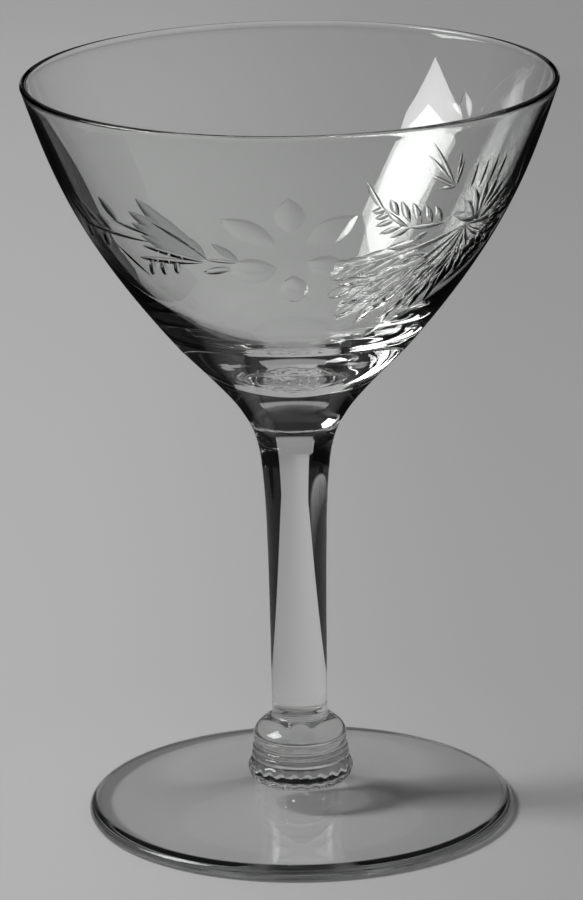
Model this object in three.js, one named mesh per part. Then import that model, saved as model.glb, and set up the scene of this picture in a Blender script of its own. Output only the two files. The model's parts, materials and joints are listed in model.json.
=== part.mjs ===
// Sherbet glass: an open blown bowl on a drawn stem, with a ringed knop, a merese and a disc foot.
// Millimetres, +Z up. The origin is the middle of the plane that the foot stands on.
import * as THREE from 'three';

// Foot: a slightly coned disc, dished below
const FOOT_RADIUS = 36.6;
const FOOT_UPPER_ROUND = 2;
const FOOT_UPPER_DROP = 1.6;
const FOOT_LOWER_ROUND = 1.2;
const FOOT_LOWER_RISE = 0.9;
const FOOT_RING_WIDTH = 2.3;
const FOOT_DISH_DEPTH = 3.5;
const FOOT_DISH_REACH = 8;
const FOOT_RING_REACH = 15;
const FOOT_HUB_RADIUS = 7.5;
const FOOT_HUB_HEIGHT = 5.6;
const FOOT_BRIM_REACH = 12;
const FOOT_HUB_REACH = 9;
const FOOT_HUB_SLOPE_DEG = 11;

// Merese: the bead between foot and knop
const MERESE_RADIUS = 9;
const MERESE_HEIGHT = 4;
const MERESE_ROUND = 0.5;

// Knop: a domed collar with tooled rings
const KNOP_BASE_RADIUS = 8.45;
const KNOP_SHOULDER_RADIUS = 8;
const KNOP_HEIGHT = 8.8;
const LOWER_RING_HEIGHT = 1.3;
const MIDDLE_RING_HEIGHT = 1;
const UPPER_RING_HEIGHT = 1.8;
const RING_DEPTH = 0.35;
const DOME_TOP_RADIUS = 5;
const DOME_TOP_HEIGHT = 7.7;
const SHOULDER_REACH = 1.3;
const DOME_REACH = 1.5;
const DOME_LEAN_DEG = 52;
const NECK_REACH = 0.4;

// Stem: solid and drawn out, flared where it meets the bowl
const STEM_LENGTH = 53.6;
const STEM_NECK_RADIUS = 4.75;
const STEM_SHANK_RADIUS = 4.9;
const STEM_TOP_RADIUS = 9.15;
const FLARE_HEIGHT = 5.7;
const FLARE_LEAN_DEG = 32;

// Bowl, outside: the flare runs on from the stem and turns over into the wall
const BOWL_HEIGHT = 57.4;
const RIM_RADIUS = 45;
const RIM_LEAN_DEG = 19;
const RIM_REACH = 12.7;
const WAIST_RADIUS = 19.7;
const WAIST_HEIGHT = 11.7;
const WAIST_LEAN_DEG = 40.4;
const WAIST_LOWER_REACH = 1;
const WAIST_UPPER_REACH = 20.8;
const BASE_REACH = 3.4;

// Bowl, inside: a round floor over the solid base, and a wall that thins towards the lip
const RIM_WALL = 1.2;
const FLOOR_THICKNESS = 7.45;
const FLOOR_REACH = 8;
const KNEE_HEIGHT = 18.5;
const KNEE_WALL = 3;
const KNEE_LEAN_DEG = 44.5;
const KNEE_LOWER_REACH = 4.5;
const KNEE_UPPER_REACH = 10.3;
const INNER_RIM_REACH = 14.7;

// Fineness of the turned solids
const TURN_SEGMENTS = 48;
const CORNER_STEPS = 4;
const CURVE_STEPS = 9;
const SAME_POINT = 1e-6;

// Heights of the joints, stacked from the ground up
const MERESE_BOTTOM = FOOT_HUB_HEIGHT;
const KNOP_BOTTOM = MERESE_BOTTOM + MERESE_HEIGHT;
const STEM_BOTTOM = KNOP_BOTTOM + KNOP_HEIGHT;
const BOWL_BOTTOM = STEM_BOTTOM + STEM_LENGTH;
const RIM_TOP = BOWL_BOTTOM + BOWL_HEIGHT;

// Outlines are half sections: x is the radius and y the height
function point(radius, height) {
  return new THREE.Vector2(radius, height);
}

// The point a given height further along a line that leans out from the axis by an angle
function along(start, rise, leanDeg) {
  return point(start.x + rise * Math.tan(THREE.MathUtils.degToRad(leanDeg)), start.y + rise);
}

function curve(start, startHandle, endHandle, end, steps = CURVE_STEPS) {
  return new THREE.CubicBezierCurve(start, startHandle, endHandle, end).getPoints(steps);
}

// A quarter or half turn of a circle or an oval
function arc(centre, across, up, fromDeg, toDeg, steps = CORNER_STEPS) {
  const from = THREE.MathUtils.degToRad(fromDeg);
  const to = THREE.MathUtils.degToRad(toDeg);
  return new THREE.EllipseCurve(centre.x, centre.y, across, up, from, to).getPoints(steps);
}

// Joins stretches of outline end to end, with one point where two of them meet
function joined(...stretches) {
  const outline = [];
  for (const next of stretches.flat()) {
    const last = outline.at(-1);
    if (!last || last.distanceTo(next) > SAME_POINT) {
      outline.push(next);
    }
  }
  return outline;
}

// The radius of an outline that climbs steadily, at a given height
function radiusAt(outline, height) {
  const upper = outline.findIndex((p) => p.y >= height);
  const [from, to] = outline.slice(upper - 1, upper + 1);
  return THREE.MathUtils.mapLinear(height, from.y, to.y, from.x, to.x);
}

// Turns a half section, drawn from the axis round to the axis again, into a solid about Z
function turned(name, outline, material) {
  const geometry = new THREE.LatheGeometry(outline, TURN_SEGMENTS);
  geometry.rotateX(Math.PI / 2);
  const mesh = new THREE.Mesh(geometry, material);
  mesh.name = name;
  return mesh;
}

function clearGlass(color) {
  const look = { color, roughness: 0.03, metalness: 0, transparent: true, opacity: 0.35 };
  return new THREE.MeshStandardMaterial(look);
}

function foot() {
  const ringOuter = FOOT_RADIUS - FOOT_LOWER_ROUND;
  const ringInner = ringOuter - FOOT_RING_WIDTH;
  const dishTop = point(0, FOOT_DISH_DEPTH);
  const dishEdge = point(ringInner, 0);
  const dishHandle = point(FOOT_DISH_REACH, FOOT_DISH_DEPTH);
  const ringHandle = point(ringInner - FOOT_RING_REACH, 0);
  const brim = point(FOOT_RADIUS - FOOT_UPPER_ROUND, FOOT_LOWER_RISE + FOOT_UPPER_DROP);
  const hub = point(FOOT_HUB_RADIUS, FOOT_HUB_HEIGHT);
  const hubDrop = FOOT_HUB_REACH * Math.tan(THREE.MathUtils.degToRad(FOOT_HUB_SLOPE_DEG));
  const brimHandle = point(brim.x - FOOT_BRIM_REACH, brim.y);
  const hubHandle = point(hub.x + FOOT_HUB_REACH, hub.y - hubDrop);
  const outline = joined(
    curve(dishTop, dishHandle, ringHandle, dishEdge),
    arc(point(ringOuter, FOOT_LOWER_RISE), FOOT_LOWER_ROUND, FOOT_LOWER_RISE, -90, 0),
    arc(point(brim.x, FOOT_LOWER_RISE), FOOT_UPPER_ROUND, FOOT_UPPER_DROP, 0, 90),
    curve(brim, brimHandle, hubHandle, hub),
    point(0, hub.y),
  );
  return turned('foot', outline, clearGlass(0xdde2e0));
}

// The middle of the bead's curve stands out by three quarters of its handles
function merese() {
  const bottom = point(FOOT_HUB_RADIUS, MERESE_BOTTOM);
  const top = point(KNOP_BASE_RADIUS - RING_DEPTH, KNOP_BOTTOM);
  const swell = (8 * MERESE_RADIUS - bottom.x - top.x) / 6;
  const bottomHandle = point(swell, MERESE_BOTTOM + MERESE_ROUND);
  const topHandle = point(swell, KNOP_BOTTOM - MERESE_ROUND);
  const outline = joined(
    point(0, MERESE_BOTTOM),
    curve(bottom, bottomHandle, topHandle, top),
    point(0, KNOP_BOTTOM),
  );
  return turned('merese', outline, clearGlass(0xd6dcda));
}

// One tooled ring of the knop: a bead that swells out between two grooves.
// The middle of such a curve stands out by three quarters of its handles.
function bead(lower, upper) {
  const handle = point(RING_DEPTH / 0.75, 0);
  return curve(lower, lower.clone().add(handle), upper.clone().add(handle), upper, CORNER_STEPS);
}

function knop() {
  const ringHeights = [LOWER_RING_HEIGHT, MIDDLE_RING_HEIGHT, UPPER_RING_HEIGHT];
  const ringsHeight = ringHeights.reduce((sum, height) => sum + height, 0);
  const shoulder = point(KNOP_SHOULDER_RADIUS, KNOP_BOTTOM + ringsHeight);
  const domeTop = point(DOME_TOP_RADIUS, KNOP_BOTTOM + DOME_TOP_HEIGHT);
  const neck = point(STEM_NECK_RADIUS, STEM_BOTTOM);
  const grooves = [point(KNOP_BASE_RADIUS - RING_DEPTH, KNOP_BOTTOM)];
  for (const height of ringHeights) {
    const level = grooves.at(-1).y + height;
    const share = (level - KNOP_BOTTOM) / ringsHeight;
    const swell = THREE.MathUtils.lerp(KNOP_BASE_RADIUS, KNOP_SHOULDER_RADIUS, share);
    grooves.push(point(swell - RING_DEPTH, level));
  }
  const rings = grooves.slice(1).map((upper, i) => bead(grooves[i], upper));
  const shoulderHandle = point(shoulder.x, shoulder.y + SHOULDER_REACH);
  const lowNeck = point(neck.x, domeTop.y + NECK_REACH);
  const highNeck = point(neck.x, neck.y - NECK_REACH);
  const outline = joined(
    point(0, KNOP_BOTTOM),
    ...rings,
    curve(shoulder, shoulderHandle, along(domeTop, -DOME_REACH, -DOME_LEAN_DEG), domeTop),
    curve(domeTop, lowNeck, highNeck, neck, CORNER_STEPS),
    point(0, STEM_BOTTOM),
  );
  return turned('knop', outline, clearGlass(0xd9dfdd));
}

function stem() {
  const neck = point(STEM_NECK_RADIUS, STEM_BOTTOM);
  const top = point(STEM_TOP_RADIUS, BOWL_BOTTOM);
  const shank = point(STEM_SHANK_RADIUS, BOWL_BOTTOM - FLARE_HEIGHT);
  const outline = joined(
    point(0, STEM_BOTTOM),
    curve(neck, shank, along(top, -FLARE_HEIGHT, FLARE_LEAN_DEG), top, CURVE_STEPS * 2),
    point(0, BOWL_BOTTOM),
  );
  return turned('stem', outline, clearGlass(0xdbe1df));
}

function bowl() {
  const base = point(STEM_TOP_RADIUS, BOWL_BOTTOM);
  const waist = point(WAIST_RADIUS, BOWL_BOTTOM + WAIST_HEIGHT);
  const lipRound = RIM_WALL / 2;
  const rimOut = point(RIM_RADIUS, RIM_TOP - lipRound);
  const rimIn = point(RIM_RADIUS - RIM_WALL, RIM_TOP - lipRound);
  const baseFlare = curve(
    base,
    along(base, BASE_REACH, FLARE_LEAN_DEG),
    along(waist, -WAIST_LOWER_REACH, WAIST_LEAN_DEG),
    waist,
  );
  const outerWall = curve(
    waist,
    along(waist, WAIST_UPPER_REACH, WAIST_LEAN_DEG),
    along(rimOut, -RIM_REACH, RIM_LEAN_DEG),
    rimOut,
  );
  const kneeHeight = BOWL_BOTTOM + KNEE_HEIGHT;
  const knee = point(radiusAt(joined(baseFlare, outerWall), kneeHeight) - KNEE_WALL, kneeHeight);
  const floor = point(0, BOWL_BOTTOM + FLOOR_THICKNESS);
  const innerWall = curve(
    rimIn,
    along(rimIn, -INNER_RIM_REACH, RIM_LEAN_DEG),
    along(knee, KNEE_UPPER_REACH, KNEE_LEAN_DEG),
    knee,
  );
  const innerFloor = curve(
    knee,
    along(knee, -KNEE_LOWER_REACH, KNEE_LEAN_DEG),
    point(FLOOR_REACH, floor.y),
    floor,
  );
  const lip = arc(point(RIM_RADIUS - lipRound, rimOut.y), lipRound, lipRound, 0, 180);
  const outline = joined(point(0, BOWL_BOTTOM), baseFlare, outerWall, lip, innerWall, innerFloor);
  return turned('bowl', outline, clearGlass(0xe1e6e4));
}

const sherbetGlass = new THREE.Group();
sherbetGlass.add(foot(), merese(), knop(), stem(), bowl());

export default sherbetGlass;
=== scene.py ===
import bisect
import json
import math
import random

import bmesh
import bpy
from mathutils import Matrix, Vector
from mathutils.geometry import interpolate_bezier

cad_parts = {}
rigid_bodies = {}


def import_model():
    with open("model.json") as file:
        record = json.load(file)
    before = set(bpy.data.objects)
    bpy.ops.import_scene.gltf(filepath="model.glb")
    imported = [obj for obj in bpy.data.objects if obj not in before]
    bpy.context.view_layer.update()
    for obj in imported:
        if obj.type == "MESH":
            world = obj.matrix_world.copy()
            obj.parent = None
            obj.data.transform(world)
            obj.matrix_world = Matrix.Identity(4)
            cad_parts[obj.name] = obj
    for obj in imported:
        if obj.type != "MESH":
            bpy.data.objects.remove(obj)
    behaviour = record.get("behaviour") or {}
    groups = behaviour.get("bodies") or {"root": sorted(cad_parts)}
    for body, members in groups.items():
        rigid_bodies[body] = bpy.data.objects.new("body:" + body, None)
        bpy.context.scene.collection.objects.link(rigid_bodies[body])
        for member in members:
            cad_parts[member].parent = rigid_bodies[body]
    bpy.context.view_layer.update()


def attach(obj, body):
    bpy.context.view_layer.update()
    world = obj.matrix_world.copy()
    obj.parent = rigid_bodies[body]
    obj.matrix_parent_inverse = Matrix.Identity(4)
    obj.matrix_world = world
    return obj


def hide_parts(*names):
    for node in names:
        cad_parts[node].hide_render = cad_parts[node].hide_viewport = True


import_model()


# Foot: a gather of clear soda-lime glass, dropped under the knop and pressed out to a disc.
# It is a little coned above and dished below, and its edge is rounded in the fire.
# It stands on the flat ring round the dish.
MM = 0.001
TURN_STEPS = 192
MERGE_DISTANCE = 1e-7
JOINT_SLACK = 0.01
CREASE = math.radians(35)

FOOT_RADIUS = 36.6
FOOT_EDGE_UPPER = 2.0, 1.6
FOOT_EDGE_LOWER = 1.2, 0.9
FOOT_RING_WIDTH = 2.3
FOOT_DISH_DEPTH = 3.5
FOOT_DISH_REACH = 8.0
FOOT_RING_REACH = 15.0
FOOT_HUB_RADIUS = 7.5
FOOT_HUB_HEIGHT = 5.6
FOOT_BRIM_REACH = 12.0
FOOT_HUB_REACH = 9.0
FOOT_HUB_SLOPE = 11.0


def bend(start, start_handle, end_handle, end, points=28):
    """A curve of an outline, in millimetres, given as (radius, height) pairs."""
    return interpolate_bezier(*(Vector((r, 0, z)) for r, z in (start, start_handle, end_handle, end)), points)


def lean(point, rise, degrees):
    """The point a given height further along a line that leans out from the axis."""
    return point[0] + rise * math.tan(math.radians(degrees)), point[1] + rise


def rounded(centre, across, up, start, end, points=11):
    """An arc of an outline, round or oval, from one angle to another in degrees."""
    angles = [math.radians(start + (end - start) * i / (points - 1)) for i in range(points)]
    return [Vector((centre[0] + across * math.cos(a), 0, centre[1] + up * math.sin(a))) for a in angles]


def mark_creases(bm):
    """Sharp edges where the finish changes or the form has a real edge, smooth everywhere else."""
    for face in bm.faces:
        face.smooth = True
    for edge in bm.edges:
        finishes = {face.material_index for face in edge.link_faces}
        edge.smooth = len(finishes) == 1 and edge.calc_face_angle(0) < CREASE


def turned(name, outline, finish, joint_heights, steps=TURN_STEPS):
    """Spins a half section, drawn from the axis round to the axis again, into a closed piece.
    Its flat faces at the joint heights are melted to the next piece."""
    bm = bmesh.new()
    verts = [bm.verts.new(point * MM) for point in outline]
    edges = [bm.edges.new(pair) for pair in zip(verts, verts[1:])]
    bmesh.ops.spin(bm, geom=verts + edges, axis=(0, 0, 1), cent=(0, 0, 0), angle=math.tau, steps=steps,
                   use_merge=True)
    bmesh.ops.remove_doubles(bm, verts=bm.verts, dist=MERGE_DISTANCE)
    bmesh.ops.recalc_face_normals(bm, faces=bm.faces)
    for face in bm.faces:
        for height, reach in joint_heights:
            flat = all(abs(vert.co.z - height * MM) < MERGE_DISTANCE for vert in face.verts)
            if flat and all(vert.co.xy.length < reach * MM for vert in face.verts):
                face.material_index = 1
    mark_creases(bm)
    mesh = bpy.data.meshes.new(name)
    bm.to_mesh(mesh)
    bm.free()
    mesh.materials.append(finish)
    mesh.materials.append(melted_joint)
    piece = bpy.data.objects.new(name, mesh)
    bpy.context.scene.collection.objects.link(piece)
    return piece


def linear(hex_colour):
    """The linear RGBA of an sRGB hex colour."""
    parts = [int(hex_colour[i:i + 2], 16) / 255 for i in (0, 2, 4)]
    return [c / 12.92 if c <= 0.04045 else ((c + 0.055) / 1.055) ** 2.4 for c in parts] + [1.0]


def add(tree, kind, values=None, links=None, **settings):
    """Adds a node with its settings, the values of its inputs and the links into them."""
    node = tree.nodes.new(kind)
    for key, value in settings.items():
        setattr(node, key, value)
    for key, value in (values or {}).items():
        node.inputs[key].default_value = value
    for key, socket in (links or {}).items():
        tree.links.new(socket, node.inputs[key])
    return node


def new_material(name):
    """An empty material and its node tree."""
    material = bpy.data.materials.new(name)
    material.use_nodes = True
    material.node_tree.nodes.clear()
    return material, material.node_tree


# Melted joint: two gathers of one glass that have run together. It gives the eye nothing, because
# light goes straight on through it.
melted_joint, tree = new_material("melted_glass_joint")
shader = add(tree, "ShaderNodeBsdfPrincipled", {"Alpha": 0.0, "Base Color": linear("FFFFFF")})
add(tree, "ShaderNodeOutputMaterial", links={"Surface": shader.outputs["BSDF"]})

GLASS_IOR = 1.52


def clear_glass(name, wave_mm, wave_depth_mm, stretch, shadow, roughness=0.0, colour="FBFCFB"):
    """Soda-lime glass, fire polished. It gives the eye a clear body, dark and bright edges, and a slight
    swim of what lies behind it, because hand-worked glass is never quite even. A thick piece bends most
    light out of its shadow, and a thin one lets it through."""
    material, tree = new_material(name)
    place = add(tree, "ShaderNodeTexCoord")
    drawn = add(tree, "ShaderNodeMapping", {"Scale": stretch}, {"Vector": place.outputs["Object"]})
    swim = add(tree, "ShaderNodeTexNoise", {"Scale": 1 / (wave_mm * MM), "Detail": 1.0, "Roughness": 0.4},
               {"Vector": drawn.outputs["Vector"]})
    waves = add(tree, "ShaderNodeBump", {"Strength": 1.0, "Distance": wave_depth_mm * MM},
                {"Height": swim.outputs["Fac"]})
    glass = add(tree, "ShaderNodeBsdfPrincipled",
                {"Base Color": linear(colour), "Roughness": roughness, "IOR": GLASS_IOR,
                 "Transmission Weight": 1.0},
                {"Normal": waves.outputs["Normal"]})
    light = add(tree, "ShaderNodeLightPath")
    shade = add(tree, "ShaderNodeBsdfTransparent", {"Color": linear(shadow)})
    mixed = add(tree, "ShaderNodeMixShader",
                links={0: light.outputs["Is Shadow Ray"], 1: glass.outputs["BSDF"], 2: shade.outputs["BSDF"]})
    add(tree, "ShaderNodeOutputMaterial", links={"Surface": mixed.outputs["Shader"]})
    return material


foot_glass = clear_glass("soda_lime_glass_pressed", 9, 0.004, (1, 1, 1), "FFFFFF")

# The rounded edge of the foot still has the fine ripple of the tools, so what it bends is blurred. Its glass
# is tinted darker as painted shade, for the dark band along the edge.
edge_glass_painted_dark = clear_glass("soda_lime_glass_rounded_edge", 1.5, 0.004, (1, 1, 1), "C4C4C4", 0.10, "D4D6D5")
ring_outer = FOOT_RADIUS - FOOT_EDGE_LOWER[0]
ring_inner = ring_outer - FOOT_RING_WIDTH
dish_top = 0.0, FOOT_DISH_DEPTH
dish_edge = ring_inner, 0.0
brim = FOOT_RADIUS - FOOT_EDGE_UPPER[0], FOOT_EDGE_LOWER[1] + FOOT_EDGE_UPPER[1]
hub = FOOT_HUB_RADIUS, FOOT_HUB_HEIGHT
hub_drop = FOOT_HUB_REACH * math.tan(math.radians(FOOT_HUB_SLOPE))
foot_outline = [
    *bend(dish_top, (FOOT_DISH_REACH, FOOT_DISH_DEPTH), (ring_inner - FOOT_RING_REACH, 0.0), dish_edge),
    *rounded((ring_outer, FOOT_EDGE_LOWER[1]), *FOOT_EDGE_LOWER, -90, 0),
    *rounded((brim[0], FOOT_EDGE_LOWER[1]), *FOOT_EDGE_UPPER, 0, 90),
    *bend(brim, (brim[0] - FOOT_BRIM_REACH, brim[1]), (hub[0] + FOOT_HUB_REACH, hub[1] - hub_drop), hub),
    Vector((0, 0, FOOT_HUB_HEIGHT)),
]
foot_disc = turned("foot_disc", foot_outline, foot_glass, [(FOOT_HUB_HEIGHT, FOOT_HUB_RADIUS + JOINT_SLACK)])
foot_disc.data.materials.append(edge_glass_painted_dark)
for face in foot_disc.data.polygons:
    if face.center.xy.length > brim[0] * MM:
        face.material_index = 2
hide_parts("foot")
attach(foot_disc, "root")


# Merese: a bead of hot glass trailed round the middle of the foot and nipped with the pincers, so its
# side is a row of small lobes. It carries the knop and is melted to it and to the foot.
MERESE_RADIUS = 9.0
MERESE_HEIGHT = 4.0
MERESE_ROUND = 0.5
LOBE_COUNT = 24
LOBE_DEPTH = 0.35
LOBE_STEPS = 16
BEAD_POINTS = 24
KNOP_BASE = FOOT_HUB_HEIGHT + MERESE_HEIGHT
KNOP_FOOT_RADIUS = 8.1

knop_glass = clear_glass("soda_lime_glass_tooled", 5, 0.012, (1, 1, 5), "D0D0D0")
bead_top = KNOP_FOOT_RADIUS, KNOP_BASE

# The middle of a curve takes an eighth of each end and three eighths of each handle, so these handles
# carry the bead out to its full radius.
swell = (8 * MERESE_RADIUS - FOOT_HUB_RADIUS - KNOP_FOOT_RADIUS) / 6
merese_outline = [
    Vector((0, 0, FOOT_HUB_HEIGHT)),
    *bend(hub, (swell, FOOT_HUB_HEIGHT + MERESE_ROUND), (swell, KNOP_BASE - MERESE_ROUND), bead_top,
          BEAD_POINTS),
    Vector((0, 0, KNOP_BASE)),
]
bead_joints = [(FOOT_HUB_HEIGHT, FOOT_HUB_RADIUS + JOINT_SLACK), (KNOP_BASE, KNOP_FOOT_RADIUS + JOINT_SLACK)]
merese_bead = turned("merese_bead", merese_outline, knop_glass, bead_joints, LOBE_COUNT * LOBE_STEPS)
for vertex in merese_bead.data.vertices:
    share = (vertex.co.z / MM - FOOT_HUB_HEIGHT) / MERESE_HEIGHT
    nip = math.cos(LOBE_COUNT * math.atan2(vertex.co.y, vertex.co.x)) - 1
    vertex.co.xy *= 1 + nip / 2 * math.sin(math.pi * share) * LOBE_DEPTH / MERESE_RADIUS
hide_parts("merese")
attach(merese_bead, "root")


# Knop: the domed collar at the bottom of the stem, of solid glass.
# Three rings are tooled into it with the jacks while it turns, and its top is drawn in to the stem.
KNOP_SHOULDER_RADIUS = 8.0
KNOP_HEIGHT = 8.8
RING_HEIGHTS = 1.3, 1.0, 1.8
RING_DEPTH = 0.35
RING_POINTS = 10
HANDLES_SHARE = 0.75
KNOP_SWELL = KNOP_FOOT_RADIUS + RING_DEPTH
DOME_TOP_RADIUS = 5.0
DOME_TOP_HEIGHT = 7.7
SHOULDER_REACH = 1.3
DOME_REACH = 1.5
DOME_LEAN = 52.0
STEM_BASE = KNOP_BASE + KNOP_HEIGHT
STEM_NECK_RADIUS = 4.75
NECK_REACH = 0.4
NECK_POINTS = 8

shoulder = KNOP_SHOULDER_RADIUS, KNOP_BASE + sum(RING_HEIGHTS)
dome_top = DOME_TOP_RADIUS, KNOP_BASE + DOME_TOP_HEIGHT
neck = STEM_NECK_RADIUS, STEM_BASE
grooves = []
for ring in range(len(RING_HEIGHTS) + 1):
    rise = sum(RING_HEIGHTS[:ring])
    crest = KNOP_SWELL + (KNOP_SHOULDER_RADIUS - KNOP_SWELL) * rise / sum(RING_HEIGHTS)
    grooves.append((crest - RING_DEPTH, KNOP_BASE + rise))
knop_outline = [Vector((0, 0, KNOP_BASE))]

# Both handles of a ring's curve stand out alike, and its crest comes three quarters of that far
swell = RING_DEPTH / HANDLES_SHARE
for lower, upper in zip(grooves, grooves[1:]):
    knop_outline += bend(lower, (lower[0] + swell, lower[1]), (upper[0] + swell, upper[1]), upper,
                         RING_POINTS)
knop_outline += bend(shoulder, (shoulder[0], shoulder[1] + SHOULDER_REACH),
                     lean(dome_top, -DOME_REACH, -DOME_LEAN), dome_top)
knop_outline += bend(dome_top, (neck[0], dome_top[1] + NECK_REACH), (neck[0], neck[1] - NECK_REACH), neck,
                     NECK_POINTS)
knop_outline.append(Vector((0, 0, STEM_BASE)))
knop_joints = [(KNOP_BASE, KNOP_FOOT_RADIUS + JOINT_SLACK), (STEM_BASE, STEM_NECK_RADIUS + JOINT_SLACK)]
ringed_knop = turned("ringed_knop", knop_outline, knop_glass, knop_joints)
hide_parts("knop")
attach(ringed_knop, "root")


# Stem: solid glass, drawn out of a gather on the bottom of the bowl while it hangs, so it is
# slightly waisted and flares at the top. Seed bubbles are trapped where the gather was laid on.
STEM_LENGTH = 53.6
STEM_SHANK_RADIUS = 4.9
STEM_TOP_RADIUS = 9.15
STEM_POINTS = 64
FLARE_HEIGHT = 5.7
FLARE_LEAN = 32.0
BOWL_BASE = STEM_BASE + STEM_LENGTH
SEED_COUNT = 260
SEED_REACH = 6.2
SEED_DEPTH = 1.9
SEED_LEAST = 0.09
SEED_SPREAD = 0.36
SEED_LARGE = 0.2
SEED_STRETCH = 0.8, 1.5
SEED_FLATNESS = 0.6
SEED_SCATTER = 0.03
GOLDEN_TURN = 0.381966
CHANCE_START = 7

stem_glass = clear_glass("soda_lime_glass_drawn", 5, 0.003, (1, 1, 0.25), "D0D0D0")
stem_top = STEM_TOP_RADIUS, BOWL_BASE
stem_outline = [
    Vector((0, 0, STEM_BASE)),
    *bend(neck, (STEM_SHANK_RADIUS, BOWL_BASE - FLARE_HEIGHT), lean(stem_top, -FLARE_HEIGHT, FLARE_LEAN),
          stem_top, STEM_POINTS),
    Vector((0, 0, BOWL_BASE)),
]
stem_joints = [(STEM_BASE, STEM_NECK_RADIUS + JOINT_SLACK), (BOWL_BASE, STEM_TOP_RADIUS + JOINT_SLACK)]
drawn_stem = turned("drawn_stem", stem_outline, stem_glass, stem_joints)

# The bubbles are hollows, so their faces point inwards. Each lies a golden turn on from the one before.
chance = random.Random(CHANCE_START)
bm = bmesh.new()
bm.from_mesh(drawn_stem.data)
for seed in range(SEED_COUNT):
    around = math.tau * (seed * GOLDEN_TURN + chance.uniform(-SEED_SCATTER, SEED_SCATTER))
    reach = SEED_REACH * math.sqrt((seed + 0.5) / SEED_COUNT)
    size = SEED_LEAST + SEED_SPREAD * chance.random() ** 3
    centre = Vector((reach * math.cos(around), reach * math.sin(around), BOWL_BASE - SEED_DEPTH))
    wide, long = chance.uniform(*SEED_STRETCH), chance.uniform(*SEED_STRETCH)
    stretch = Matrix.Diagonal((wide, long, SEED_FLATNESS, 1.0))
    place = Matrix.Translation(centre * MM) @ stretch
    fineness = 2 if size > SEED_LARGE else 1
    bubble = bmesh.ops.create_icosphere(bm, subdivisions=fineness, radius=size * MM, matrix=place)
    skin = list({face for v in bubble["verts"] for face in v.link_faces})
    bmesh.ops.reverse_faces(bm, faces=skin)
    for face in skin:
        face.smooth = True
bm.to_mesh(drawn_stem.data)
bm.free()
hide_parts("stem")
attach(drawn_stem, "root")


# Bowl: blown clear glass, opened out with the jacks. The thin wall thickens into a solid base,
# the floor inside is round, and the lip is cut off and rounded in the fire.
BOWL_HEIGHT = 57.4
BOWL_STEPS = 256
RIM_RADIUS = 45.0
RIM_WALL = 1.2
RIM_LEAN = 19.0
RIM_REACH = 12.7
WAIST_RADIUS = 19.7
WAIST_HEIGHT = 11.7
WAIST_LEAN = 40.4
WAIST_LOWER_REACH = 1.0
WAIST_UPPER_REACH = 20.8
BASE_REACH = 3.4
FLOOR_THICKNESS = 7.45
FLOOR_REACH = 8.0
KNEE_HEIGHT = 18.5
KNEE_WALL = 3.0
KNEE_LEAN = 44.5
KNEE_LOWER_REACH = 4.5
KNEE_UPPER_REACH = 10.3
INNER_RIM_REACH = 14.7
OUTER_POINTS = 64
INNER_POINTS = 36
LIP_POINTS = 13

bowl_glass = clear_glass("soda_lime_glass_blown", 11, 0.004, (1, 1, 1), "FAFAFA")
lip = RIM_WALL / 2
rim_height = BOWL_BASE + BOWL_HEIGHT - lip
waist = WAIST_RADIUS, BOWL_BASE + WAIST_HEIGHT
rim_out = RIM_RADIUS, rim_height
rim_in = RIM_RADIUS - RIM_WALL, rim_height
base_flare = bend(stem_top, lean(stem_top, BASE_REACH, FLARE_LEAN),
                  lean(waist, -WAIST_LOWER_REACH, WAIST_LEAN), waist)
outer_wall = bend(waist, lean(waist, WAIST_UPPER_REACH, WAIST_LEAN), lean(rim_out, -RIM_REACH, RIM_LEAN),
                  rim_out, OUTER_POINTS)
knee_height = BOWL_BASE + KNEE_HEIGHT
upper = next(i for i, point in enumerate(outer_wall) if point.z >= knee_height)
share = (knee_height - outer_wall[upper - 1].z) / (outer_wall[upper].z - outer_wall[upper - 1].z)
knee = outer_wall[upper - 1].lerp(outer_wall[upper], share).x - KNEE_WALL, knee_height
floor_height = BOWL_BASE + FLOOR_THICKNESS
bowl_outline = [
    Vector((0, 0, BOWL_BASE)),
    *base_flare,
    *outer_wall,
    *rounded((RIM_RADIUS - lip, rim_height), lip, lip, 0, 180, LIP_POINTS),
    *bend(rim_in, lean(rim_in, -INNER_RIM_REACH, RIM_LEAN), lean(knee, KNEE_UPPER_REACH, KNEE_LEAN), knee,
          INNER_POINTS),
    *bend(knee, lean(knee, -KNEE_LOWER_REACH, KNEE_LEAN), (FLOOR_REACH, floor_height), (0, floor_height)),
]
bowl_joint = BOWL_BASE, STEM_TOP_RADIUS + JOINT_SLACK
engraved_bowl = turned("engraved_bowl", bowl_outline, bowl_glass, [bowl_joint], BOWL_STEPS)

# The engraving is an open flower between sprays of leaves, a fern and plumes. It is cut into the front of
# the wall with small turning wheels and polished again. Each cut is a boat-shaped hollow, as broad and
# deep as its wheel. Its points are millimetres round the wall from the front, and up it from the flower.
FLOWER_HEIGHT = 106.0
CUT_PROUD = 0.2
CUT_SIDES = 12
CUT_RINGS = 12
CUT_POLE = 1e-6
BLUNT, POINTED = 1, 2

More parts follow.
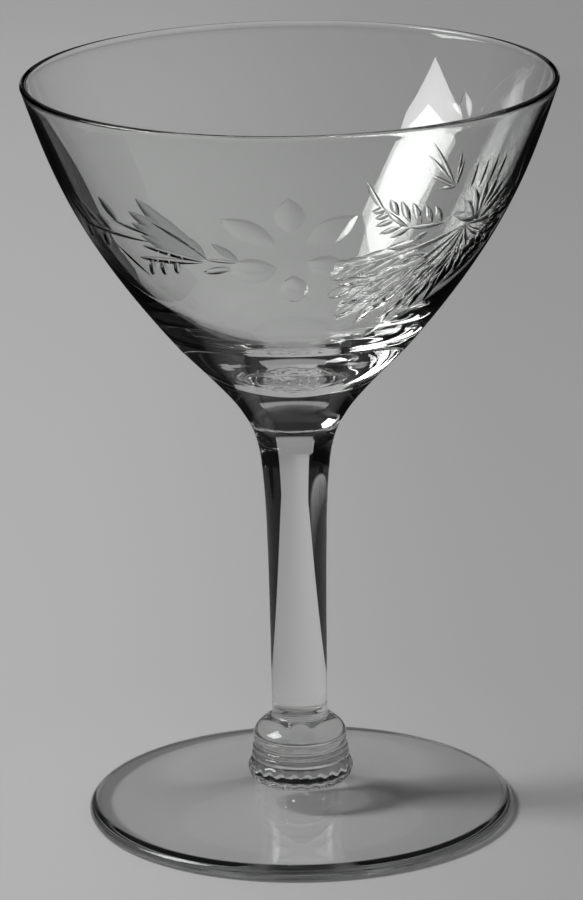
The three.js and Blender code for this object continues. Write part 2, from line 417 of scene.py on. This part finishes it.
# Wheel-cut glass, polished: it gives the eye a thin bright or dark line at the edge of each cut, and
# breaks up the reflections in the wall. Where the wheel's ground surface is left, it is dull and greyer.
# The petals have the polish of the wall. The slots of these finishes follow the two of the plain bowl.
cut_glass = clear_glass("soda_lime_glass_wheel_polished", 0.6, 0.003, (1, 1, 1), "D8D8D8", 0.08)
ground_glass = clear_glass("soda_lime_glass_wheel_ground", 0.5, 0.004, (1, 1, 1), "D0D0D0", 0.22, "C6C8C7")
cut_finishes = cut_glass, ground_glass, bowl_glass
POLISHED, GROUND, SMOOTH = 2, 3, 4
lengths = [0.0]
for lower, upper in zip(outer_wall, outer_wall[1:]):
    lengths.append(lengths[-1] + (upper - lower).length)
flower_step = next(i for i, point in enumerate(outer_wall) if point.z >= FLOWER_HEIGHT)
flower_length, flower_radius = lengths[flower_step], outer_wall[flower_step].x
cutters = bpy.data.collections.new("cutting_wheels")


def on_wall(flat, out):
    """A point of the outside of the wall, or a little out from it."""
    length = flower_length + flat.y
    step = min(bisect.bisect_right(lengths, length), len(lengths) - 1) - 1
    share = (length - lengths[step]) / (lengths[step + 1] - lengths[step])
    rise = (outer_wall[step + 1] - outer_wall[step]).normalized()
    spot = outer_wall[step].lerp(outer_wall[step + 1], share) + Vector((rise.z, 0, -rise.x)) * out
    return Matrix.Rotation(flat.x / flower_radius - math.pi / 2, 3, "Z") @ spot * MM


def bowed(bow, share):
    """How far a bent cut stands off its straight line, a given share of the way along."""
    return bow * 4 * share * (1 - share)


def cut(base, tip, width, depth, bow=0.0, ends=(POINTED, POINTED), finish=POLISHED):
    """The wheel's path for one cut, which bows to the left of its way by the given amount."""
    base, way = Vector(base), Vector(tip) - Vector(base)
    aside = way.orthogonal().normalized()
    bm = bmesh.new()
    bmesh.ops.create_uvsphere(bm, u_segments=CUT_SIDES, v_segments=CUT_RINGS, radius=1.0)
    for vert in bm.verts:
        share, taper = (1 + vert.co.z) / 2, vert.co.xy.length
        side, deep = vert.co.xy / taper if taper > CUT_POLE else (0.0, 0.0)
        end = ends[1] if share > 0.5 else ends[0]
        spread = bowed(bow, share) + side * width / 2 * taper ** end
        out = CUT_PROUD * taper * deep if deep > 0 else -depth * (taper * deep) ** 2
        vert.co = on_wall(base + way * share + aside * spread, out)
    if bm.calc_volume(signed=True) < 0:
        bmesh.ops.reverse_faces(bm, faces=bm.faces)
    for face in bm.faces:
        face.material_index = finish
    mesh = bpy.data.meshes.new("cut")
    bm.to_mesh(mesh)
    bm.free()
    for glass in (bowl_glass, melted_joint, *cut_finishes):
        mesh.materials.append(glass)
    cutters.objects.link(bpy.data.objects.new("cut", mesh))


# The flower: six broad petals, shallow and well polished, so that little more than their edges show
for base, tip, width, depth, end in (
        ((-2.6, 4.4), (-10.6, 9.2), 4.6, 0.28, POINTED), ((-2.4, -1.0), (-10.4, -2.2), 5.6, 0.38, BLUNT),
        ((2.2, 4.0), (9.6, 9.6), 5.0, 0.28, POINTED), ((2.4, 0.6), (8.4, -2.4), 5.2, 0.38, BLUNT),
        ((0.2, -2.4), (0.3, -8.8), 5.0, 0.38, BLUNT), ((-0.2, 6.4), (-0.4, 13.6), 4.6, 0.28, POINTED)):
    cut(base, tip, width, depth, 0, (POINTED, end), SMOOTH)

# The spray on the left: a stalk with two leaflets, a leaf of several cuts with its rib, and blunt fingers
cut((-8.3, 0.2), (-14.5, 0.3), 0.8, 0.15)
cut((-8.6, 0.4), (-12.7, 4.0), 1.8, 0.14, finish=GROUND)
cut((-10.2, -1.2), (-15.3, -2.6), 1.5, 0.3, ends=(BLUNT, BLUNT))
for base, tip in (((-14.2, 0.3), (-18.4, 5.7)), ((-15.2, 1.4), (-20.8, 8.0)), ((-16.4, 2.6), (-22.2, 9.9)),
                  ((-17.4, 3.2), (-24.0, 11.6)), ((-18.4, 3.4), (-26.3, 8.6)), ((-18.2, 2.6), (-26.6, 6.2)),
                  ((-14.6, 0.3), (-25.6, 3.9)), ((-14, 0.4), (-21, 5.2))):
    cut(base, tip, 3.2, 0.14, finish=GROUND)
cut((-14, 0.2), (-23.4, 7.4), 0.8, 0.35, -0.6)
for base, tip in (((-14.6, -0.2), (-26.1, 1.6)), ((-14.8, -0.4), (-28.2, -1.4))):
    cut(base, tip, 1.3, 0.3, ends=(POINTED, BLUNT))
for base, tip in (((-25.2, -1.3), (-27.3, -5.1)), ((-23.1, -1.2), (-24.0, -4.5)),
                  ((-19.9, -0.7), (-21.0, -3.7))):
    cut(base, tip, 1.3, 0.3, ends=(BLUNT, BLUNT))
for base, tip in (((-22, 3.9), (-31.5, 6.0)), ((-22.5, 2.7), (-42, 3)), ((-27.9, -5.6), (-33.2, 0.4))):
    cut(base, tip, 0.8, 0.25)
for base, tip in (((-29.6, 5.5), (-32.2, 10.3)), ((-32.5, 3.1), (-34.4, 6.5)), ((-35, 3.4), (-38.5, 7.5)),
                  ((-34, 2.6), (-37, -0.8)), ((-39, 3), (-43.5, 6.5)), ((-39.5, 2.6), (-43, -0.5))):
    cut(base, tip, 2.0, 0.2, finish=GROUND)

# The fern: a bent rib with teeth on both sides
for base, tip in (((25.5, 5.6), (18, 6)), ((18.4, 5.9), (13.5, 10.4)), ((13.8, 9.8), (10.4, 16))):
    cut(base, tip, 1.0, 0.25, 0.3)
for base, tip in (((16.1, 8.6), (14.2, 12.2)), ((18.4, 6.8), (16, 11.6)), ((20.6, 6), (18, 10.9)),
                  ((22.6, 5.9), (20.3, 10)), ((24.5, 5.9), (22.2, 9.4)), ((14.1, 10), (11.6, 10.1)),
                  ((14.6, 9), (12.3, 8.6)), ((15.6, 7.8), (12.6, 7)), ((17.2, 6.4), (13.4, 5.3)),
                  ((18.6, 5.8), (15.4, 4.2)), ((22.4, 4.2), (19.4, 2.8))):
    cut(base, tip, 1.3, 0.25)

# The thistle above the plumes: thin spikes over a bundle of broad blades
BLADE_COUNT = 7
BLADE_START = 155
BLADE_STEP = 18
BLADE_REACH = 8.5


def towards(degrees):
    """A direction on the wall: 0 is to the right and 90 is up."""
    return Vector((math.cos(math.radians(degrees)), math.sin(math.radians(degrees))))


spike_root = Vector((25.2, 12.4))
for heading, reach in ((172, 3), (147, 6.8), (130, 9.7), (121, 11.4), (94, 7), (86, 5.2)):
    cut(spike_root, spike_root + towards(heading) * reach, 0.7, 0.2)
for across, top in ((28.5, 28.52), (30.5, 30.76), (32.5, 33.0), (34.5, 35.24)):
    cut((across, 11), (top, 16.5), 0.7, 0.2)
blade_root = Vector((33.6, 3.8))
for blade in range(BLADE_COUNT):
    cut(blade_root, blade_root + towards(BLADE_START - BLADE_STEP * blade) * BLADE_REACH, 1.9, 0.28)

# The plumes: curved quills from one root, down to the left and round to the right, with barbs on both
# sides, which get shorter towards the tip
BARB_LEAN = math.radians(15)
BARB_SPACING = 3.6
FEWEST_BARBS = 5
BARB_WIDTH = 2.2
BARB_DEPTHS = 0.24, 0.32, 0.40
BARB_BOW = 0.4
BARB_TAPER = 1.8
BARB_LEAST = 0.35
FIRST_BARB = 2
quill_root = Vector((30.5, 4.0))
for tip, bow, barb in (((6.5, -1.8), 0.8, 7.7), ((6.9, -6.2), 2.6, 8.4), ((8.3, -10.8), 3.6, 8.4),
                       ((15.3, -12.2), 4.4, 7.7), ((23.8, -10.8), 3.3, 7), ((28.5, -8), 1.5, 5.6),
                       ((33.2, -5.5), 0, 5.6), ((39, -4), -1.5, 5.6), ((44, 0), -1.5, 5.6),
                       ((46, 6), -1, 5.6)):
    quill = Vector(tip) - quill_root
    way, aside = quill.normalized(), quill.orthogonal().normalized()
    cut(quill_root, tip, 1.4, 0.35, bow)
    barbs = max(FEWEST_BARBS, int(quill.length / BARB_SPACING))
    for step in range(FIRST_BARB, barbs):
        share = step / barbs
        spot = quill_root + quill * share + aside * bowed(bow, share)
        bend_here = math.atan(bow * 4 * (1 - 2 * share) / quill.length)
        swing = BARB_LEAN - bend_here if step % 2 else BARB_LEAN + bend_here
        reach = barb * min(1.0, BARB_TAPER * (1 - share) + BARB_LEAST)
        for hand in (1, -1):
            heading = way * math.cos(swing) + aside * hand * math.sin(swing)
            cut(spot, spot + heading * reach, BARB_WIDTH, BARB_DEPTHS[step % 3], BARB_BOW * hand)

# A leaf on the back of the bowl
for base, tip in (((80, 8), (83, 15)), ((81, 9), (86, 13)), ((80.5, 8), (85.5, 9))):
    cut(base, tip, 3.0, 0.22)

# All of them are taken out of the bowl at once
bpy.context.scene.collection.children.link(cutters)
for glass in cut_finishes:
    engraved_bowl.data.materials.append(glass)
wheel = engraved_bowl.modifiers.new("engraving", "BOOLEAN")
wheel.operation = "DIFFERENCE"
wheel.operand_type = "COLLECTION"
wheel.collection = cutters
wheel.solver = "MANIFOLD"
engraved = bpy.data.meshes.new_from_object(engraved_bowl.evaluated_get(bpy.context.evaluated_depsgraph_get()))
engraved_bowl.modifiers.clear()
for cutter in list(cutters.objects):
    bpy.data.objects.remove(cutter)
bpy.data.collections.remove(cutters)
bm = bmesh.new()
bm.from_mesh(engraved)
mark_creases(bm)
bm.to_mesh(engraved_bowl.data)
bm.free()
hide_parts("bowl")
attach(engraved_bowl, "root")


# Table: a sheet of plain pale grey paper, much larger than the view. Past the reach of the softbox
# it keeps its tone up to the skyline, for the camera and for what is seen through or in the glass.
TABLE_RADIUS = 6.0
TABLE_STEPS = 128
TABLE_DROP = 0.05
PULP_SIZE = 3.0
FLECK_DEPTH = 0.05
LIT_RADIUS = 0.5, 1.0
# The paper's two tones: lit on the left, and in painted shade on the right
PAPER_LIT_AND_SHADED = "B0B0B0", "A1A1A1"
PAINTED_SHADE_SPAN = -0.05, 0.05
SKYLINE = "949494"

# Paper: a dull grey sheet, with painted shade that makes it a little darker from left to right, away from the
# softbox. In the Mix node, inputs 6 and 7 are the lit and the shaded colour and output 2 is the mixed one.
paper, tree = new_material("matt_grey_paper")
place = add(tree, "ShaderNodeTexCoord")
pulp = add(tree, "ShaderNodeTexNoise", {"Scale": 1 / (PULP_SIZE * MM), "Detail": 3.0},
           {"Vector": place.outputs["Object"]})
fleck = add(tree, "ShaderNodeBump", {"Strength": 0.15, "Distance": FLECK_DEPTH * MM},
            {"Height": pulp.outputs["Fac"]})
across = add(tree, "ShaderNodeSeparateXYZ", links={"Vector": place.outputs["Object"]})
painted_shade = add(tree, "ShaderNodeMapRange", {"From Min": PAINTED_SHADE_SPAN[0], "From Max": PAINTED_SHADE_SPAN[1]},
          {"Value": across.outputs["X"]}, interpolation_type="SMOOTHSTEP")
tone = add(tree, "ShaderNodeMix", {6: linear(PAPER_LIT_AND_SHADED[0]), 7: linear(PAPER_LIT_AND_SHADED[1])}, {0: painted_shade.outputs["Result"]},
           data_type="RGBA")
sheet = add(tree, "ShaderNodeBsdfPrincipled", {"Roughness": 0.9},
            {"Base Color": tone.outputs[2], "Normal": fleck.outputs["Normal"]})
reach = add(tree, "ShaderNodeVectorMath", links={0: place.outputs["Object"]}, operation="LENGTH")
far = add(tree, "ShaderNodeMapRange", {"From Min": LIT_RADIUS[0], "From Max": LIT_RADIUS[1]},
          {"Value": reach.outputs["Value"]}, interpolation_type="SMOOTHSTEP")
ray = add(tree, "ShaderNodeLightPath")
seen = add(tree, "ShaderNodeMath", operation="MAXIMUM",
           links={0: ray.outputs["Is Camera Ray"], 1: ray.outputs["Is Transmission Ray"]})
seen = add(tree, "ShaderNodeMath", operation="MAXIMUM",
           links={0: seen.outputs[0], 1: ray.outputs["Is Glossy Ray"]})
share = add(tree, "ShaderNodeMath", operation="MULTIPLY",
            links={0: seen.outputs[0], 1: far.outputs["Result"]})
glow = add(tree, "ShaderNodeEmission", {"Color": linear(SKYLINE)})
mixed = add(tree, "ShaderNodeMixShader",
            links={0: share.outputs[0], 1: sheet.outputs["BSDF"], 2: glow.outputs["Emission"]})
add(tree, "ShaderNodeOutputMaterial", links={"Surface": mixed.outputs["Shader"]})


def staged(name, bm, material):
    """A thing of the studio, which isn't part of the glass."""
    mesh = bpy.data.meshes.new(name)
    bm.to_mesh(mesh)
    bm.free()
    mesh.materials.append(material)
    thing = bpy.data.objects.new(name, mesh)
    bpy.context.scene.collection.objects.link(thing)
    return thing


bm = bmesh.new()
bmesh.ops.create_circle(bm, cap_ends=True, segments=TABLE_STEPS, radius=TABLE_RADIUS,
                        matrix=Matrix.Translation((0, 0, -TABLE_DROP * MM)))
staged("paper_table", bm, paper)


# Flags and backdrop: black card just outside the picture gives clear glass its dark edges, and a
# pale card behind it the light ones. Only the glass sees them, and some of them act on part of the light
# alone, as their materials say.
BLACK = "141414"
CARD_REACH = 0.06, 0.20, 0.90
CARD_STEPS = 24
CARD_EDGE = 0.070
CARD_EDGE_TURN = {"left": -2.1, "right": -3.6}
CARD_SWEEP = {"left": (-15.5, -100), "right": (20, 100)}
CARD_OUTER_SWEEP = 75
FLAG_REACH = 0.50
FLAG_HEIGHT = 0.36
FLAG_SWEEP = {"left": ((20, 70), (110, 160)), "right": ((20, 70), (110, 120), (150, 160))}
OPENING_AT = -0.18, 0.18, 0.0
OPENING_REACH = 0.075, 0.12
OPENING_SLANT = 0.995, 1.015
SCREEN_SWEEP = 60, 130
SCREEN_REACH = 0.52
SCREEN_DEPTH = 6.5
VELVET_REACH = 0.045, 0.6
VELVET_THICK = 0.075
VELVET_LIFT = 0.002
VELVET_SWEEP = -180, 180
BACKDROP_SWEEP = -18, 20
BACKDROP_REACH = 0.75
BACKDROP_HEIGHT = 0.36
BACKDROP_FADE = 0.19, 0.26
BACKDROP_TONE = "8E8E8E"
BACKDROP_OFF_DEPTH = 3.0


def part_black(tree, thick):
    """A dull black surface where thick is 1, and nothing at all where it is 0."""
    clear = add(tree, "ShaderNodeBsdfTransparent")
    dull = add(tree, "ShaderNodeBsdfDiffuse", {"Color": linear(BLACK)})
    mixed = add(tree, "ShaderNodeMixShader",
                links={0: thick, 1: clear.outputs["BSDF"], 2: dull.outputs["BSDF"]})
    add(tree, "ShaderNodeOutputMaterial", links={"Surface": mixed.outputs["Shader"]})


# Black card: it gives the glass its dark edges. A soft opening on the left lets the table be seen through
# the bowl from the front right. Rays that leave the stem are longer than those from the wall of the bowl,
# because they start nearer to the axis, and by that they still find the card.
black_card, tree = new_material("black_flock_card")
place = add(tree, "ShaderNodeTexCoord")
spread = add(tree, "ShaderNodeVectorMath", {1: OPENING_AT}, {0: place.outputs["Object"]},
             operation="DISTANCE")
outside = add(tree, "ShaderNodeMapRange", {"From Min": OPENING_REACH[0], "From Max": OPENING_REACH[1]},
              {"Value": spread.outputs["Value"]}, interpolation_type="SMOOTHSTEP")
ray = add(tree, "ShaderNodeLightPath")
reach = add(tree, "ShaderNodeVectorMath", links={0: place.outputs["Object"]}, operation="LENGTH")
slant = add(tree, "ShaderNodeMath", operation="DIVIDE",
            links={0: ray.outputs["Ray Length"], 1: reach.outputs["Value"]})
low = add(tree, "ShaderNodeMapRange", {"From Min": OPENING_SLANT[0], "From Max": OPENING_SLANT[1]},
          {"Value": slant.outputs[0]})
thick = add(tree, "ShaderNodeMath", operation="MAXIMUM",
            links={0: outside.outputs["Result"], 1: low.outputs["Result"]})
part_black(tree, thick.outputs[0])

# Black gauze: light that has been thrown about inside the glass many times gets lost in it
black_gauze, tree = new_material("black_gauze")
ray = add(tree, "ShaderNodeLightPath")
deep = add(tree, "ShaderNodeMath", {1: SCREEN_DEPTH}, {0: ray.outputs["Ray Depth"]}, operation="GREATER_THAN")
part_black(tree, deep.outputs[0])

# Black velvet: it darkens only what is mirrored on the outside of the glass, and thins out near the foot
black_velvet, tree = new_material("black_velvet")
place = add(tree, "ShaderNodeTexCoord")
reach = add(tree, "ShaderNodeVectorMath", links={0: place.outputs["Object"]}, operation="LENGTH")
pile = add(tree, "ShaderNodeMapRange", {"From Min": VELVET_REACH[0], "From Max": VELVET_THICK},
           {"Value": reach.outputs["Value"]})
ray = add(tree, "ShaderNodeLightPath")
thick = add(tree, "ShaderNodeMath", operation="SUBTRACT", use_clamp=True,
            links={0: pile.outputs["Result"], 1: ray.outputs["Is Transmission Ray"]})
part_black(tree, thick.outputs[0])

# Pale grey card: it gives the glass a light ground that fades out upwards. Light that the glass has
# turned back just once doesn't find it.
pale_card, tree = new_material("pale_grey_card")
place = add(tree, "ShaderNodeTexCoord")
height = add(tree, "ShaderNodeSeparateXYZ", links={"Vector": place.outputs["Object"]})
fade = add(tree, "ShaderNodeMapRange",
           {"From Min": BACKDROP_FADE[0], "From Max": BACKDROP_FADE[1], "To Min": 1.0, "To Max": 0.0},
           {"Value": height.outputs["Z"]}, interpolation_type="SMOOTHSTEP")
ray = add(tree, "ShaderNodeLightPath")
turned_once = add(tree, "ShaderNodeMath", {1: BACKDROP_OFF_DEPTH, 2: 0.5}, {0: ray.outputs["Ray Depth"]},
                  operation="COMPARE")
pale = add(tree, "ShaderNodeMath", operation="SUBTRACT", use_clamp=True,
           links={0: fade.outputs["Result"], 1: turned_once.outputs[0]})
shader = add(tree, "ShaderNodeEmission", {"Color": linear(BACKDROP_TONE)}, {"Strength": pale.outputs[0]})
add(tree, "ShaderNodeOutputMaterial", links={"Surface": shader.outputs["Emission"]})


def swept(profile, sweep):
    """A card swept round the axis. Azimuth 0, where its profile lies, is behind the glass, and clockwise
    is positive."""
    bm = bmesh.new()
    verts = [bm.verts.new((0, y, z)) for y, z in profile]
    edges = [bm.edges.new(pair) for pair in zip(verts, verts[1:])]
    start, end = (-math.radians(angle) for angle in sweep)
    bmesh.ops.rotate(bm, verts=verts, matrix=Matrix.Rotation(start, 3, "Z"))
    bmesh.ops.spin(bm, geom=verts + edges, axis=(0, 0, 1), cent=(0, 0, 0), angle=end - start,
                   steps=CARD_STEPS)
    return bm


def only_for_glass(thing):
    """Hides a thing of the studio from the camera and the table, and gives it no shadow."""
    thing.visible_camera = False
    thing.visible_diffuse = False
    thing.visible_shadow = False


for hand, sweep in CARD_SWEEP.items():
    side = -1 if hand == "left" else 1
    bm = swept([(reach, 0) for reach in CARD_REACH], sweep)
    normal = Matrix.Rotation(math.radians(CARD_EDGE_TURN[hand]), 3, "Z") @ Vector((side, 0, 0))
    bmesh.ops.bisect_plane(bm, geom=bm.verts[:] + bm.edges[:] + bm.faces[:],
                           plane_co=(side * CARD_EDGE, 0, 0), plane_no=normal, clear_inner=True)
    spare = []
    for face in bm.faces:
        middle = face.calc_center_median()
        azimuth = math.degrees(math.atan2(middle.x, middle.y)) * side
        if middle.length > CARD_REACH[1] and azimuth > CARD_OUTER_SWEEP:
            spare.append(face)
    bmesh.ops.delete(bm, geom=spare, context="FACES")
    only_for_glass(staged("table_flag", bm, black_card))
    for start, end in FLAG_SWEEP[hand]:
        bm = swept([(FLAG_REACH, 0), (FLAG_REACH, FLAG_HEIGHT)], (start * side, end * side))
        only_for_glass(staged("standing_flag", bm, black_card))
    start, end = SCREEN_SWEEP
    bm = swept([(SCREEN_REACH, 0), (SCREEN_REACH, FLAG_HEIGHT)], (start * side, end * side))
    only_for_glass(staged("gauze_screen", bm, black_gauze))
bm = swept([(reach, VELVET_LIFT) for reach in VELVET_REACH], VELVET_SWEEP)
only_for_glass(staged("table_velvet", bm, black_velvet))
bm = swept([(BACKDROP_REACH, 0), (BACKDROP_REACH, BACKDROP_HEIGHT)], BACKDROP_SWEEP)
only_for_glass(staged("backdrop", bm, pale_card))


# Light: one softbox on the left, above the table, in a dim room. The lamp lights the table, and the glass
# reflects the softbox's white cloth, which has clipped corners and falls off towards its edge.
LAMP_DISTANCE = 2.0
LAMP_AZIMUTH = -93.0
LAMP_ELEVATION = 50.0
LAMP_SIZE = 0.5
LAMP_RADIANCE = 63.0
CLOTH_CORNERS = ((-1.08, 0.23, 0.515), (-1.05, -0.285, 0.555), (-0.935, -0.405, 0.695),
                 (-0.70, -0.33, 1.03), (-0.76, 0.13, 1.03))
CLOTH_GLOW = 11.5, 6.0
CLOTH_FADE = 0.10, 0.42
AIM = Vector((0, 0, 0.115))
ROOM = "141414"
ROOM_FRONT = "585858"
FILL = "5A5A5A"
SKYLINE_TOP = 0.10, 0.15

lamp_data = bpy.data.lights.new("softbox_lamp", "AREA")
lamp_data.size = LAMP_SIZE
lamp_data.energy = LAMP_RADIANCE * math.pi * LAMP_SIZE ** 2
lamp = bpy.data.objects.new("softbox_lamp", lamp_data)
bpy.context.scene.collection.objects.link(lamp)
azimuth, elevation = math.radians(LAMP_AZIMUTH), math.radians(LAMP_ELEVATION)
level = math.cos(elevation)
away = Vector((math.sin(azimuth) * level, math.cos(azimuth) * level, math.sin(elevation)))
facing = away.to_track_quat("Z", "Y").to_matrix().to_4x4()
lamp.matrix_world = Matrix.Translation(AIM + away * LAMP_DISTANCE) @ facing
for kind in ("camera", "glossy", "transmission"):
    setattr(lamp, "visible_" + kind, False)

cloth, tree = new_material("white_softbox_cloth")
place = add(tree, "ShaderNodeTexCoord")
middle = sum((Vector(corner) for corner in CLOTH_CORNERS), Vector()) / len(CLOTH_CORNERS)
spread = add(tree, "ShaderNodeVectorMath", {1: middle}, {0: place.outputs["Object"]}, operation="DISTANCE")
glow = add(tree, "ShaderNodeMapRange",
           {"From Min": CLOTH_FADE[0], "From Max": CLOTH_FADE[1],
            "To Min": CLOTH_GLOW[0], "To Max": CLOTH_GLOW[1]},
           {"Value": spread.outputs["Value"]})
shader = add(tree, "ShaderNodeEmission", links={"Strength": glow.outputs["Result"]})
add(tree, "ShaderNodeOutputMaterial", links={"Surface": shader.outputs["Emission"]})
bm = bmesh.new()
bmesh.ops.contextual_create(bm, geom=[bm.verts.new(corner) for corner in CLOTH_CORNERS])
only_for_glass(staged("softbox_cloth", bm, cloth))

# Room: the table's own tone at the skyline and dark above it. What the glass mirrors is the lighter
# front of the room, and the table gets a weak fill.
world = bpy.data.worlds.new("dim_room")
bpy.context.scene.world = world
world.use_nodes = True
tree = world.node_tree
tree.nodes.clear()
place = add(tree, "ShaderNodeTexCoord")
height = add(tree, "ShaderNodeSeparateXYZ", links={"Vector": place.outputs["Generated"]})
above = add(tree, "ShaderNodeMapRange", {"From Min": SKYLINE_TOP[0], "From Max": SKYLINE_TOP[1]},
            {"Value": height.outputs["Z"]})
low, high, fill, front = (add(tree, "ShaderNodeBackground", {"Color": linear(colour)}).outputs[0]
                          for colour in (SKYLINE, ROOM, FILL, ROOM_FRONT))
room = add(tree, "ShaderNodeMixShader", links={0: above.outputs["Result"], 1: low, 2: high})
ray = add(tree, "ShaderNodeLightPath")
bounced = add(tree, "ShaderNodeMath", operation="SUBTRACT", use_clamp=True,
              links={0: ray.outputs["Is Glossy Ray"], 1: ray.outputs["Is Transmission Ray"]})
mirrored = add(tree, "ShaderNodeMixShader", links={0: bounced.outputs[0], 1: room.outputs[0], 2: front})
lit = add(tree, "ShaderNodeMixShader",
          links={0: ray.outputs["Is Diffuse Ray"], 1: mirrored.outputs[0], 2: fill})
seen = add(tree, "ShaderNodeMixShader", links={0: ray.outputs["Is Camera Ray"], 1: lit.outputs[0], 2: low})
add(tree, "ShaderNodeOutputWorld", links={"Surface": seen.outputs[0]})

cycles = bpy.context.scene.cycles
cycles.max_bounces = 32
cycles.transmission_bounces = 32
cycles.glossy_bounces = 16
cycles.transparent_max_bounces = 32
cycles.caustics_reflective = False
cycles.caustics_refractive = False
bpy.context.scene.view_settings.view_transform = "Standard"


# Camera: a long lens that looks a little down on the glass.
CAMERA_AT = 0.0, -870.6, 321.7
CAMERA_PITCH = 0.28734
CAMERA_YAW = -0.00079
CAMERA_ROLL = -0.016735
SENSOR_HEIGHT = 36.0
FOCAL_PIXELS = 5345.1
PICTURE_HEIGHT = 900

camera_data = bpy.data.cameras.new("camera")
camera_data.sensor_fit = "VERTICAL"
camera_data.sensor_height = SENSOR_HEIGHT
camera_data.lens = SENSOR_HEIGHT * FOCAL_PIXELS / PICTURE_HEIGHT
camera = bpy.data.objects.new("camera", camera_data)
bpy.context.scene.collection.objects.link(camera)
turn = Matrix.Rotation(-CAMERA_YAW, 4, "Z") @ Matrix.Rotation(math.pi / 2 - CAMERA_PITCH, 4, "X")
camera.matrix_world = Matrix.Translation(Vector(CAMERA_AT) * MM) @ turn @ Matrix.Rotation(CAMERA_ROLL, 4, "Z")
bpy.context.scene.camera = camera
